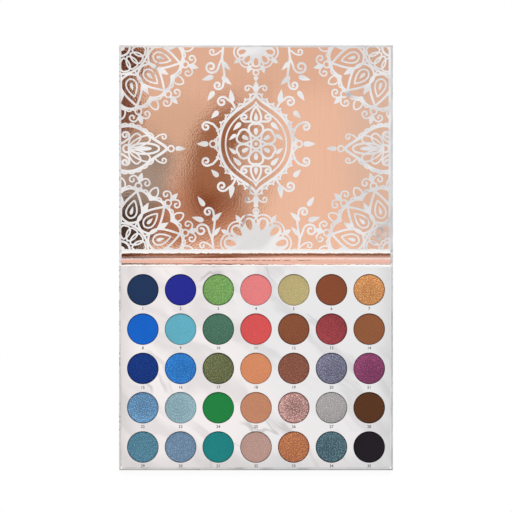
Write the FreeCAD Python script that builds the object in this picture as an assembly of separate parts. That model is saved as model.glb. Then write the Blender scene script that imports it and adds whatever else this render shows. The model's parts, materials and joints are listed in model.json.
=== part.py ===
import FreeCAD, Part
import math
import os

from FreeCAD import Vector

os.makedirs("parts", exist_ok=True)

# Pan layout, in mm. X runs across the palette, +Y from the base to the lid, +Z up.
columns = 7
rows = 5
hole_diameter = 26.0        # round opening in the printed platform
rim_cover = 0.5             # how far the platform covers each pan rim
pan_web_x = 4.0             # space between neighbouring pans, side to side
pan_web_y = 5.3             # the same front to back, with room for a shade number
side_margin = 4.85          # outer pan to tray face
front_margin = 4.55
rear_margin = 6.25

# Pans and powders
pan_height = 4.4
pan_wall = 0.25
powder_recess = 0.2         # powder below the pan rim

# Paper and board
paper = 0.15                # outer wrap, foil lining and tray wrap
board = 1.5                 # greyboard of lid, spine and base
cover_radius = 0.4          # rounded edges and corners of the wrapped covers
wall_thickness = 1.5        # tray walls
tray_radius = 0.5           # rounded outer edges and corners of the wrapped tray
turn_in = 12.0              # wrap folded onto the inner face of a cover
wrap_tuck = 2.5             # tray wrap folded down inside the walls
platform_thickness = 0.9
platform_inset = 1.2        # tray shoulder left bare around the platform
platform_corner = 0.8
side_overhang = 1.3         # cover beyond the tray
front_overhang = 1.3
lining_inset = 1.6          # wrap left bare around the lid lining
foil_inset = 2.0            # wrap left bare at each end of the spine foil

# Closure magnets
magnet_diameter = 8.0
base_magnet_thickness = 2.0
lid_magnet_thickness = 0.9
magnet_setback = 7.0        # magnet centre behind the tray front

# Clearances
powder_clearance = 0.1      # powder to pan wall, radial
magnet_clearance = 0.1      # magnet to its pocket in the lid board, radial
closed_clearance = 0.3      # platform to lid lining when shut
crease_gap = 0.3            # between the mitres at each fold
hinge_ledge = 0.15          # base foil left flat behind the tray

# Heights
board_top = paper + board
lining_top = board_top + paper
pan_rim = board_top + pan_height
platform_top = pan_rim + platform_thickness
closed_height = platform_top + closed_clearance + lining_top

# Plan
pan_diameter = hole_diameter + 2 * rim_cover
pan_radius = pan_diameter / 2
pitch_x = pan_diameter + pan_web_x
pitch_y = pan_diameter + pan_web_y
half_spine = closed_height / 2
mitre = crease_gap / 2
tray_half = ((columns - 1) * pitch_x + pan_diameter) / 2 + side_margin
tray_depth = (rows - 1) * pitch_y + pan_diameter + front_margin + rear_margin
tray_setback = mitre + lining_top + hinge_ledge
tray_rear = -half_spine - tray_setback
tray_front = tray_rear - tray_depth
cover_half = tray_half + side_overhang
panel_depth = tray_setback + tray_depth + front_overhang
magnet_x = (columns - 2) / 2 * pitch_x
magnet_y = tray_front + magnet_setback

first_x = -(columns - 1) / 2 * pitch_x
first_y = tray_rear - rear_margin - pan_radius
pan_centres = [
    (first_x + column * pitch_x, first_y - row * pitch_y)
    for row in range(rows)
    for column in range(columns)
]

# Feet and tops of the mitres, measured from a fold axis. The lining covers the board's mitre.
slant = paper * math.sqrt(2)
wrap_lip = mitre + paper
board_foot = mitre + paper + slant
board_crest = mitre + board_top + slant
lining_crest = mitre + lining_top


def disc(radius, z_min, z_max):
    return Part.makeCylinder(radius, z_max - z_min, Vector(0, 0, z_min))


def strip(section, x_half):
    # A section in Y and Z, run across the palette.
    points = [Vector(-x_half, y, z) for y, z in section]
    face = Part.Face(Part.makePolygon(points + points[:1]))
    return face.extrude(Vector(2 * x_half, 0, 0))


def both_sides(section):
    return section + [(-y, z) for y, z in reversed(section)]


def tray_block(inset, z_min, z_max):
    corner = Vector(inset - tray_half, tray_front + inset, z_min)
    return Part.makeBox(2 * (tray_half - inset), tray_depth - 2 * inset, z_max - z_min, corner)


def edges_but(solid, kept_sharp):
    return [edge for edge in solid.Edges if not kept_sharp(edge.BoundBox)]


def under_paper(radius):
    # The chamfer on a board that leaves the paper its thickness under a rounded edge.
    return (2 - math.sqrt(2)) * (radius - paper)


def at_each(solid, centres):
    return [solid.translated(Vector(x, y, 0)) for x, y in centres]


def save(name, *solids):
    shape = solids[0] if len(solids) == 1 else Part.makeCompound(solids)
    shape.exportStep("parts/" + name + ".step")


# Panels are drawn with the fold on Y = 0 and the panel towards +Y, then put in place.
def to_lid(shape):
    return shape.translated(Vector(0, half_spine, 0))


def to_base(shape):
    return to_lid(shape).mirror(Vector(0, 0, 0), Vector(0, 1, 0))


def cover_panel():
    # A greyboard with a mitred fold edge, and its wrap turned in over three free edges.
    def at_fold(bounds):
        return bounds.YMin < board_crest + paper and bounds.YMax < panel_depth / 2

    outer = strip([
        (mitre, 0),
        (panel_depth, 0),
        (panel_depth, board_top),
        (board_crest, board_top),
        (board_foot, paper),
        (wrap_lip, paper),
    ], cover_half)
    outer = outer.makeFillet(cover_radius, edges_but(outer, at_fold))
    core = strip([
        (board_foot, paper),
        (panel_depth - paper, paper),
        (panel_depth - paper, board),
        (board_crest - paper, board),
    ], cover_half - paper)
    core = core.makeChamfer(under_paper(cover_radius), edges_but(core, at_fold))
    raised = strip([
        (board_crest - paper, board),
        (panel_depth - turn_in, board),
        (panel_depth - turn_in, board_top),
        (board_crest, board_top),
    ], cover_half - turn_in)
    core = core.fuse(raised).removeSplitter()
    return core, outer.cut(core)


def panel_lining(far_edge, x_half):
    # Paper down the mitre and over the inner face as far as far_edge.
    return strip([
        (wrap_lip, paper),
        (lining_crest, lining_top),
        (far_edge, lining_top),
        (far_edge, board_top),
        (board_crest, board_top),
        (board_foot, paper),
    ], x_half)


def spine_panel():
    # A narrow board mitred on both sides, wrapped outside and lined with foil inside.
    outer = strip(both_sides([
        (half_spine - mitre, 0),
        (half_spine - wrap_lip, paper),
        (half_spine - board_foot, paper),
        (half_spine - board_crest, board_top),
    ]), cover_half)
    core = strip(both_sides([
        (half_spine - board_foot, paper),
        (half_spine - board_crest + paper, board),
    ]), cover_half - paper)
    raised = strip(both_sides([
        (half_spine - board_crest + paper, board),
        (half_spine - board_crest, board_top),
    ]), cover_half - turn_in)
    core = core.fuse(raised).removeSplitter()
    foil = strip(both_sides([
        (half_spine - board_foot, paper),
        (half_spine - wrap_lip, paper),
        (half_spine - lining_crest, lining_top),
    ]) + [
        (board_crest - half_spine, board_top),
        (half_spine - board_crest, board_top),
    ], cover_half - foil_inset)
    return core, outer.cut(core), foil


# Lid and base covers share one panel. Only the lid board has pockets, under the turned-in wrap.
panel_board, panel_wrap = cover_panel()
base_magnet_spots = [(-magnet_x, magnet_y), (magnet_x, magnet_y)]
lid_magnet_spots = [(x, -y) for x, y in base_magnet_spots]
pocket_floor = board - lid_magnet_thickness
pocket = disc(magnet_diameter / 2 + magnet_clearance, pocket_floor, board_top)
lid_magnet = disc(magnet_diameter / 2, pocket_floor, board)

save("base_board", to_base(panel_board))
save("base_wrap", to_base(panel_wrap))
save("base_hinge_foil", to_base(panel_lining(tray_setback, cover_half - foil_inset)))
save("lid_board", to_lid(panel_board).cut(at_each(pocket, lid_magnet_spots)))
save("lid_wrap", to_lid(panel_wrap))
save("lid_lining", to_lid(panel_lining(panel_depth - lining_inset, cover_half - lining_inset)))
save("lid_magnets", *at_each(lid_magnet, lid_magnet_spots))

spine_board, spine_wrap, spine_foil = spine_panel()
save("spine_board", spine_board)
save("spine_wrap", spine_wrap)
save("spine_foil", spine_foil)


# Tray walls butt at the corners. The wrap goes up outside, over the top and down inside.
def on_board(bounds):
    return bounds.ZMax < board_top + tray_radius


wall_top = pan_rim - paper
wall_inside = paper + wall_thickness
wall_block = tray_block(paper, board_top, wall_top)
wall_block = wall_block.makeChamfer(under_paper(tray_radius), edges_but(wall_block, on_board))
walls = wall_block.cut(tray_block(wall_inside, board_top, wall_top))
wrapped = tray_block(0, board_top, pan_rim)
wrapped = wrapped.makeFillet(tray_radius, edges_but(wrapped, on_board))
save("tray_wrap", wrapped.cut([
    walls,
    tray_block(wall_inside + paper, board_top, pan_rim),
    tray_block(wall_inside, board_top, pan_rim - wrap_tuck),
]))

between_sides = strip([
    (tray_front, board_top),
    (tray_rear, board_top),
    (tray_rear, wall_top),
    (tray_front, wall_top),
], tray_half - wall_inside)
left_wall, right_wall = sorted(walls.cut(between_sides).Solids, key=lambda wall: wall.CenterOfMass.x)
front_wall, rear_wall = sorted(walls.common(between_sides).Solids, key=lambda wall: wall.CenterOfMass.y)
save("tray_wall_left", left_wall)
save("tray_wall_right", right_wall)
save("tray_wall_front", front_wall)
save("tray_wall_rear", rear_wall)

# The printed platform lies on the walls and the pan rims.
platform = tray_block(platform_inset, pan_rim, platform_top)
upright = [edge for edge in platform.Edges if edge.BoundBox.ZLength > platform_thickness / 2]
platform = platform.makeFillet(platform_corner, upright)
opening = disc(hole_diameter / 2, pan_rim, platform_top)
save("platform", platform.cut(at_each(opening, pan_centres)))

base_magnet = disc(magnet_diameter / 2, pan_rim - base_magnet_thickness, pan_rim)
save("base_magnets", *at_each(base_magnet, base_magnet_spots))

# Tin pans glued to the base board, and a pressed powder in each.
pan_floor = board_top + pan_wall
pan_inside = pan_radius - pan_wall
pan = disc(pan_radius, board_top, pan_rim).cut(disc(pan_inside, pan_floor, pan_rim))
powder = disc(pan_inside - powder_clearance, pan_floor, pan_rim - powder_recess)
save("pans", *at_each(pan, pan_centres))
for number, placed in enumerate(at_each(powder, pan_centres), start=1):
    save("powder_%02d" % number, placed)
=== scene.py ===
import json
import math

import bpy
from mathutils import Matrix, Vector
from mathutils.geometry import delaunay_2d_cdt


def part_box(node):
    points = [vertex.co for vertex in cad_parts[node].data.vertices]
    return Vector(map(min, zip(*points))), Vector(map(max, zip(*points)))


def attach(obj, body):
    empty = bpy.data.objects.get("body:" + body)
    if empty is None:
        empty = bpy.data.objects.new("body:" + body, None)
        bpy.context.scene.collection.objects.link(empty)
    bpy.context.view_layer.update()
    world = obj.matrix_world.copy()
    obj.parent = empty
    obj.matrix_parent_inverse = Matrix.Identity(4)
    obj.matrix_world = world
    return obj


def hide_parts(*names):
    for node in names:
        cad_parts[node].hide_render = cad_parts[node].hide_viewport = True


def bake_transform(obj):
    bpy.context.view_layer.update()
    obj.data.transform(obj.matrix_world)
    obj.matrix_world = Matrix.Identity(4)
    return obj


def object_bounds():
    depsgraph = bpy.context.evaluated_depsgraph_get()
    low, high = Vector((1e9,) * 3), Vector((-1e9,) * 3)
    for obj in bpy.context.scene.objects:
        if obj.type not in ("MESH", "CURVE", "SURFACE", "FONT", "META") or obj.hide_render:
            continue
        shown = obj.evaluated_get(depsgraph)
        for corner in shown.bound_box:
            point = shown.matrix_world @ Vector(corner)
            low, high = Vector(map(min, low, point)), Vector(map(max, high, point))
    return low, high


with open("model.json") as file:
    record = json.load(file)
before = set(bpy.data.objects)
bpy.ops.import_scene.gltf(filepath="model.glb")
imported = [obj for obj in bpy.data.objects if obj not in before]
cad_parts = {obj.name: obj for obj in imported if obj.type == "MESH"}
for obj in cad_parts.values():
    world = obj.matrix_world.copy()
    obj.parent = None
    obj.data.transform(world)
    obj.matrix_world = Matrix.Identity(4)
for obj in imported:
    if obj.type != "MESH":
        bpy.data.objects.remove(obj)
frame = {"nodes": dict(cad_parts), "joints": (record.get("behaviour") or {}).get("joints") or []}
cadLow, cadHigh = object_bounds()
nodes = frame["nodes"]
mm = 0.001
white = (1, 1, 1, 1)


# Small helpers for shader trees

def linear(red, green, blue):
    # a colour as seen on screen, 0 to 255, as the renderer's own values
    channels = [c / 255 for c in (red, green, blue)]
    return tuple(c / 12.92 if c <= 0.04045 else ((c + 0.055) / 1.055) ** 2.4 for c in channels) + (1,)


def setSockets(tree, node, sockets):
    for name, value in sockets.items():
        if isinstance(value, bpy.types.NodeSocket):
            tree.links.new(value, node.inputs[name])
        else:
            node.inputs[name].default_value = value


def addNode(tree, kind, sockets={}, **settings):
    node = tree.nodes.new("ShaderNode" + kind)
    for name, value in settings.items():
        setattr(node, name, value)
    setSockets(tree, node, sockets)
    return node.outputs


def objectPlace(tree):
    return addNode(tree, "TexCoord")["Object"]


def calc(tree, operation, *values):
    return addNode(tree, "Math", dict(enumerate(values)), operation=operation)[0]


def product(tree, first, *others):
    for value in others:
        first = calc(tree, "MULTIPLY", first, value)
    return first


def vectorCalc(tree, operation, *values, output="Vector"):
    return addNode(tree, "VectorMath", dict(enumerate(values)), operation=operation)[output]


def scaled(tree, vector, factor):
    return addNode(tree, "VectorMath", {0: vector, "Scale": factor}, operation="SCALE")[0]


def turned(tree, vector, angle):
    return addNode(tree, "VectorRotate", {"Vector": vector, "Angle": angle}, rotation_type="Z_AXIS")[0]


def remap(tree, value, fromLow, fromHigh, toLow=0.0, toHigh=1.0):
    sockets = {0: value, 1: fromLow, 2: fromHigh, 3: toLow, 4: toHigh}
    return addNode(tree, "MapRange", sockets, interpolation_type="SMOOTHSTEP")[0]


def fadeOut(tree, value, full, gone):
    return remap(tree, value, full, gone, 1.0, 0.0)


def spread(tree, value, low, high):
    # most of a noise lies between 0.3 and 0.7
    return remap(tree, value, 0.3, 0.7, low, high)


def mixColour(tree, factor, first, second, blend="MIX"):
    return addNode(tree, "Mix", {0: factor, 6: first, 7: second}, data_type="RGBA", blend_type=blend)[2]


def mixValue(tree, factor, first, second):
    return addNode(tree, "Mix", {0: factor, 2: first, 3: second}, data_type="FLOAT")[0]


def noise(tree, place, scale, detail=2.0, roughness=0.5, output="Fac"):
    sockets = {"Vector": place, "Scale": scale, "Detail": detail, "Roughness": roughness}
    return addNode(tree, "TexNoise", sockets)[output]


def sway(tree, place, *noiseLook):
    # a noise from -0.5 to 0.5
    return calc(tree, "SUBTRACT", noise(tree, place, *noiseLook), 0.5)


def patches(tree, place, scale, detail, low, high):
    # 1 where a noise is over high, 0 where it is under low
    return remap(tree, noise(tree, place, scale, detail), low, high)


def wander(tree, place, reach, *noiseLook):
    # a place moved about at random, by up to half of reach
    colour = noise(tree, place, *noiseLook, output="Color")
    off = vectorCalc(tree, "SUBTRACT", colour, (0.5, 0.5, 0.5))
    return vectorCalc(tree, "MULTIPLY_ADD", off, (reach, reach, 0.0), place)


def newGroup(name, inputs, outputs):
    group = bpy.data.node_groups.new(name, "ShaderNodeTree")
    for label, value in inputs.items():
        kind = {3: "Vector", 4: "Color"}[len(value)] if isinstance(value, tuple) else "Float"
        socket = group.interface.new_socket(label, in_out="INPUT", socket_type="NodeSocket" + kind)
        socket.default_value = value
    for label, kind in outputs.items():
        group.interface.new_socket(label, in_out="OUTPUT", socket_type="NodeSocket" + kind)
    given = group.nodes.new("NodeGroupInput").outputs
    result = group.nodes.new("NodeGroupOutput")
    return group, given, result


def useGroup(tree, group, sockets={}):
    node = tree.nodes.new("ShaderNodeGroup")
    node.node_tree = group
    setSockets(tree, node, sockets)
    return node.outputs


def newMaterial(name, plain={}):
    material = bpy.data.materials.new(name)
    material.use_nodes = True
    tree = material.node_tree
    shader = tree.nodes["Principled BSDF"]
    setSockets(tree, shader, plain)
    return material, tree, shader


def raised(tree, shader, height, depth, strength=1.0):
    bump = addNode(tree, "Bump", {"Height": height, "Distance": depth, "Strength": strength})
    tree.links.new(bump[0], shader.inputs["Normal"])


# Effects that several finishes share. A noise has a scale, a detail and a roughness,
# patches have a scale, a detail and the noise's values where they start and are full.

def fromEdge(edge, *distances):
    # places in metres, from distances in mm to an edge of the palette
    return [edge + distance * mm for distance in distances]


marble = {
    "drift": 0.05,  # veins wander by half of this, in metres
    "driftNoise": (17.0, 3.0),
    "drawn": (1.0, 0.3, 1.0),  # and run long one way
    "smoke": {"noise": (20.0, 3.0, 0.55), "width": 0.085, "strength": 0.34},
    "hair": {"noise": (15.0, 3.0, 0.55), "width": 0.011, "strength": 0.55},
    "hairShift": (0.37, 0.11, 0.2),  # keeps the hairlines off the smoke
    "hairPatches": (26.0, 2.0, 0.46, 0.66),
    "cloudNoise": (11.0, 3.0),
    "cloudSpan": (0.3, 0.75),
    "coolToRight": 2.2,  # per metre
    # painted shade round the sides and front of the base: its grey, and where it lies
    "marginShadeGrey": linear(190, 187, 187),
    "marginShadeSides": fromEdge(cadHigh[0], -18.65, 0.35),
    "marginShadeFront": fromEdge(cadLow[1], 0.925, 22.925),
    "gleamFront": fromEdge(cadLow[1], 2.725, 3.725),
    "chipsLeft": fromEdge(cadLow[0], 0.25, 1.45),
    "chipsRight": fromEdge(cadHigh[0], -0.75, -0.15),
    "fewer": 0.6,  # share of the chips on the right
    "chipBrown": linear(96, 84, 80),
    "chipPatches": (420.0, 2.0, 0.54, 0.64),
    "gleamPatches": (70.0, 2.0, 0.32, 0.52),
}


def makeMarblePrint():
    # printed marble: clouds, broad smoky veins and fine hairlines, all leaning one way, with painted
    # shade at the margins
    tree, given, result = newGroup(
        "marblePrintAndLight",
        {"Veins": 1.0, "Smoke": 1.0, "Lean": 0.8, "MarginShade": 0.0, "Scuff": 0.0, "Gleam": 0.0,
         "Paper": linear(241, 234, 233), "Cool": linear(230, 230, 231), "Vein": linear(140, 136, 138)},
        {"Color": "Color"})
    place = objectPlace(tree)
    across, along, _ = addNode(tree, "SeparateXYZ", {0: place})
    leaning = turned(tree, place, given["Lean"])
    drifted = wander(tree, leaning, marble["drift"], *marble["driftNoise"])
    drawn = vectorCalc(tree, "MULTIPLY", drifted, marble["drawn"])
    shifted = vectorCalc(tree, "ADD", drawn, marble["hairShift"])

    def vein(spot, look):
        off = calc(tree, "ABSOLUTE", sway(tree, spot, *look["noise"]))
        return product(tree, fadeOut(tree, off, 0.0, look["width"]), look["strength"])

    cloud = noise(tree, place, *marble["cloudNoise"])
    cloud = calc(tree, "MULTIPLY_ADD", across, marble["coolToRight"], cloud)
    paper = mixColour(tree, remap(tree, cloud, *marble["cloudSpan"]), given["Paper"], given["Cool"])
    smoke = product(tree, vein(drawn, marble["smoke"]), given["Smoke"])
    smoked = mixColour(tree, smoke, paper, given["Vein"])
    broken = patches(tree, leaning, *marble["hairPatches"])
    hair = product(tree, vein(shifted, marble["hair"]), broken, given["Veins"])
    veined = mixColour(tree, hair, smoked, given["Vein"])
    # painted shade: greyer round the sides and front of the base
    side = remap(tree, calc(tree, "ABSOLUTE", across), *marble["marginShadeSides"])
    front = fadeOut(tree, along, *marble["marginShadeFront"])
    rim = product(tree, calc(tree, "MAXIMUM", side, front), given["MarginShade"])
    shaded = mixColour(tree, rim, veined, marble["marginShadeGrey"])
    # white in places where the front edge of the tray catches the light
    lit = fadeOut(tree, along, *marble["gleamFront"])
    lit = product(tree, lit, patches(tree, place, *marble["gleamPatches"]), given["Gleam"])
    gleaming = mixColour(tree, lit, shaded, white)
    # small chips along the outer edges, most of them on the left
    left = fadeOut(tree, across, *marble["chipsLeft"])
    right = remap(tree, across, *marble["chipsRight"], 0.0, marble["fewer"])
    chips = patches(tree, place, *marble["chipPatches"])
    chipped = product(tree, calc(tree, "MAXIMUM", left, right), chips, given["Scuff"])
    setSockets(tree, result, {"Color": mixColour(tree, chipped, gleaming, marble["chipBrown"])})
    return tree


tooth = {
    "fine": (3.0, 0.6),  # detail and roughness
    "rippleNoise": (90.0, 2.0),
    "rippleHeight": 1.5,  # beside the fine tooth
    "sheen": (-0.05, 0.05),
}


def makePaperTooth():
    # the fine unevenness of laminated paper
    tree, given, result = newGroup(
        "paperTooth", {"Scale": 2600.0}, {"Height": "Float", "Sheen": "Float"})
    place = objectPlace(tree)
    fine = noise(tree, place, given["Scale"], *tooth["fine"])
    ripple = noise(tree, place, *tooth["rippleNoise"])
    setSockets(tree, result, {
        "Height": calc(tree, "MULTIPLY_ADD", ripple, tooth["rippleHeight"], fine),
        "Sheen": spread(tree, ripple, *tooth["sheen"]),
    })
    return tree


stamping = {
    "streakNoise": (900.0, 3.0, 0.6),
    "dimpleNoise": (860.0, 1.0, 0.4),
    "waveNoise": (45.0, 2.0),
    "tone": (0.93, 1.04),
    "roughness": (0.04, 0.08),
}


def makeFoilGrain():
    # hot-stamped foil: drawn streaks over a fine dimpled ground
    tree, given, result = newGroup(
        "foilGrain",
        {"Drawn": (1.0, 0.02, 0.02), "Streaks": 0.35},
        {"Tone": "Float", "Roughness": "Float", "Height": "Float"})
    place = objectPlace(tree)
    drawn = vectorCalc(tree, "MULTIPLY", place, given["Drawn"])
    streak = noise(tree, drawn, *stamping["streakNoise"])
    dimple = noise(tree, place, *stamping["dimpleNoise"])
    wave = noise(tree, place, *stamping["waveNoise"])
    setSockets(tree, result, {
        "Tone": spread(tree, streak, *stamping["tone"]),
        "Roughness": spread(tree, wave, *stamping["roughness"]),
        "Height": calc(tree, "MULTIPLY_ADD", streak, given["Streaks"], dimple),
    })
    return tree


rubbing = {
    # the band is rubbed-bare foil and a painted highlight
    "ends": (0.7, 1.0),  # shares of the span where the wear stops
    "drawn": (1.0, 3.0, 3.0),
    "patchNoise": (260.0, 4.0, 0.65),
    "maskSpan": (0.42, 0.55),
}


def makeCreaseWear():
    # wear along a crease that runs across the palette, in patches; the same band places painted
    # highlights and painted dark lines
    tree, given, result = newGroup(
        "creaseWearAndLight", {"Crease": 0.0, "Reach": 0.001, "Span": 1.0, "Rub": 0.5}, {"Mask": "Float"})
    place = objectPlace(tree)
    across, along, _ = addNode(tree, "SeparateXYZ", {0: place})
    off = calc(tree, "ABSOLUTE", calc(tree, "SUBTRACT", along, given["Crease"]))
    near = fadeOut(tree, calc(tree, "DIVIDE", off, given["Reach"]), 0.0, 1.0)
    share = calc(tree, "DIVIDE", calc(tree, "ABSOLUTE", across), given["Span"])
    near = product(tree, near, fadeOut(tree, share, *rubbing["ends"]), given["Rub"])
    drawn = vectorCalc(tree, "MULTIPLY", place, rubbing["drawn"])
    wornAndPaintedLight = calc(tree, "ADD", near, sway(tree, drawn, *rubbing["patchNoise"]))
    setSockets(tree, result, {"Mask": remap(tree, wornAndPaintedLight, *rubbing["maskSpan"])})
    return tree


pressing = {
    "irregular": 0.95,
    "flakeSpan": (0.12, 0.4),  # a flake fades between these, in cells from its middle
    "faintest": 0.3,  # strength of the faintest flake
    "paintedRimSheen": (0.003, 0.011, -0.3, 0.45),  # metres from the middle of the pan, then the tones there
    "rays": (0.002, 0.008, 0.0, 1.6),
    "rayNoise": (11.0, 2.0),
    "grainNoise": (2300.0, 3.0, 0.6),
    "grainTone": 0.45,
    "cloudNoise": (50.0, 1.0),
    "roughness": (0.92, 0.4),  # of the ground and of the flakes
}


def makePressedPowder():
    # pearly flakes, each leaning its own way, in a finer ground
    tree, given, result = newGroup(
        "pressedPowder",
        {"Flake": linear(150, 150, 150), "Ground": linear(100, 100, 100), "Count": 900.0, "Cloud": 0.2,
         "Gloss": 0.2, "Tilt": 0.5, "PaintedRimSheen": 0.0, "Slope": (0.0, 0.0, 0.0), "Middle": (0.0, 0.0, 0.0)},
        {"Color": "Color", "Metallic": "Float", "Roughness": "Float", "Normal": "Vector"})
    place = objectPlace(tree)
    sockets = {"Vector": place, "Scale": given["Count"], "Randomness": pressing["irregular"]}
    cells = addNode(tree, "TexVoronoi", sockets, voronoi_dimensions="2D")
    chance = addNode(tree, "SeparateColor", {0: cells["Color"]})[0]
    strength = calc(tree, "MULTIPLY_ADD", chance, 1 - pressing["faintest"], pressing["faintest"])
    flake = product(tree, fadeOut(tree, cells["Distance"], *pressing["flakeSpan"]), strength)
    colour = mixColour(tree, flake, given["Ground"], given["Flake"])

    # painted sheen: paler towards the rim, in rays, and darker in the middle
    away = vectorCalc(tree, "SUBTRACT", place, given["Middle"])
    away = vectorCalc(tree, "MULTIPLY", away, (1.0, 1.0, 0.0))
    reach = vectorCalc(tree, "LENGTH", away, output="Value")
    outer = remap(tree, reach, *pressing["paintedRimSheen"])
    ray = sway(tree, vectorCalc(tree, "NORMALIZE", away), *pressing["rayNoise"])
    ray = product(tree, ray, remap(tree, reach, *pressing["rays"]))
    paintedRimSheen = product(tree, calc(tree, "ADD", outer, ray), given["PaintedRimSheen"])
    # painted side light: lighter on one side of the pan, darker on the other
    paintedSideLight = vectorCalc(tree, "DOT_PRODUCT", away, given["Slope"], output="Value")

    grain = sway(tree, place, *pressing["grainNoise"])
    cloud = sway(tree, place, *pressing["cloudNoise"])
    tone = calc(tree, "MULTIPLY_ADD", grain, pressing["grainTone"], 1.0)
    tone = calc(tree, "MULTIPLY_ADD", cloud, given["Cloud"], tone)
    tone = calc(tree, "ADD", calc(tree, "ADD", tone, paintedRimSheen), paintedSideLight)
    fleck = product(tree, flake, given["Gloss"])
    lean = vectorCalc(tree, "SUBTRACT", cells["Color"], (0.5, 0.5, 0.5))
    lean = scaled(tree, lean, product(tree, given["Tilt"], fleck))
    normal = vectorCalc(tree, "ADD", lean, addNode(tree, "NewGeometry")["Normal"])
    setSockets(tree, result, {
        "Color": scaled(tree, colour, tone),
        "Metallic": fleck,
        "Roughness": mixValue(tree, fleck, *pressing["roughness"]),
        "Normal": vectorCalc(tree, "NORMALIZE", normal),
    })
    return tree


marblePrintAndLight = makeMarblePrint()
paperTooth = makePaperTooth()
foilGrain = makeFoilGrain()
creaseWearAndLight = makeCreaseWear()
pressedPowder = makePressedPowder()
print("shared effects ready")


# Finishes. Creases and depths are in metres.

laminate = {"specular": 0.4, "roughness": 0.42, "toothDepth": 0.00001, "toothStrength": 0.35}
marblePapers = {
    "coverMarble": {"Veins": 0.9, "Smoke": 0.7, "Lean": -0.75, "Scuff": 0.65,
                    "Paper": linear(224, 219, 219), "Cool": linear(211, 211, 213)},
    "trayMarble": {"Veins": 0.5, "Smoke": 0.5, "Lean": -0.75, "Gleam": 1.0,
                   "Paper": linear(226, 220, 219), "Cool": linear(228, 228, 229)},
    # the card carries painted shade round its sides and front
    "cardMarble": {"Veins": 0.8, "Smoke": 0.6, "Lean": -0.8, "MarginShade": 0.4,
                   "Paper": linear(246, 239, 238), "Cool": linear(233, 232, 233)},
    "laceMarble": {"Veins": 1.5, "Smoke": 0.65, "Lean": 0.85,
                   "Paper": linear(240, 237, 236), "Cool": linear(232, 231, 232)},
}


def makeMarblePaper(name, look):
    material, tree, shader = newMaterial(name, {"Specular IOR Level": laminate["specular"]})
    uneven = useGroup(tree, paperTooth)
    printed = useGroup(tree, marblePrintAndLight, look)
    roughness = calc(tree, "ADD", uneven["Sheen"], laminate["roughness"])
    setSockets(tree, shader, {"Base Color": printed["Color"], "Roughness": roughness})
    raised(tree, shader, uneven["Height"], laminate["toothDepth"], laminate["toothStrength"])
    return material


roseFoil = {
    "colour": linear(236, 186, 158),
    "shadow": (0.5, 0.16, 0.08, 1),
    # a painted dark line: a dark reflection painted along the spine's foil
    "crack": (0.3, 0.12, 0.09, 1),
    # rubbed-bare paper, also the painted white highlight along the creases
    "bare": linear(250, 248, 246),  # paper where the foil is rubbed off
    "bareRoughness": 0.3,  # on top of the foil's own
    "dimpleDepth": 0.000018,
    "grain": {},
}
pinkFoil = {**roseFoil, "colour": linear(240, 190, 172), "grain": {"Drawn": (0.02, 1.0, 0.02)}}
# a band under the lid's lace and down the lid's fold, rubbed bare and painted white as its highlight
lidCrease = {"Crease": 0.0053, "Reach": 0.0033, "Rub": 0.95}
foils = {
    # the foil, where it is rubbed bare and painted white as a crease's highlight, and where a painted
    # dark line lies
    "stampedFoil": (roseFoil, lidCrease),
    "spineFoil": (
        pinkFoil,
        # a line along the spine's crest, rubbed bare and painted as its highlight
        {"Crease": -0.0009, "Reach": 0.0008, "Rub": 0.6},
        {"Crease": -0.0023, "Reach": 0.0012, "Span": 0.06, "Rub": 0.54}),
    "lidFoldFoil": (pinkFoil, lidCrease),
    "baseFoldFoil": (
        # a paler painted dark line: painted shade that dims the glint in the base fold
        {**pinkFoil, "crack": (0.7, 0.37, 0.28, 1)},
        # a broken line beside the base, rubbed bare and painted as its highlight
        {"Crease": -0.0064, "Reach": 0.0018, "Rub": 0.72},
        {"Crease": -0.00395, "Reach": 0.0009, "Rub": 1.0}),
}


def makeFoil(name, look, wearAndHighlight, paintedDarkLineAt=None):
    material, tree, shader = newMaterial(name)
    grain = useGroup(tree, foilGrain, look["grain"])
    # rubbed-bare paper along a crease, painted white there as the crease's highlight too
    wornAndPaintedLight = useGroup(tree, creaseWearAndLight, wearAndHighlight)["Mask"]
    toned = mixColour(tree, grain["Tone"], look["shadow"], look["colour"])
    # a painted dark line along a crease: a painted reflection on the spine, painted shade in the base
    # fold
    if paintedDarkLineAt:
        toned = mixColour(tree, useGroup(tree, creaseWearAndLight, paintedDarkLineAt)["Mask"], toned, look["crack"])
    setSockets(tree, shader, {
        "Base Color": mixColour(tree, wornAndPaintedLight, toned, look["bare"]),
        "Metallic": calc(tree, "SUBTRACT", 1.0, wornAndPaintedLight),
        "Roughness": calc(tree, "MULTIPLY_ADD", wornAndPaintedLight, look["bareRoughness"], grain["Roughness"]),
    })
    raised(tree, shader, grain["Height"], look["dimpleDepth"])
    return material


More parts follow.
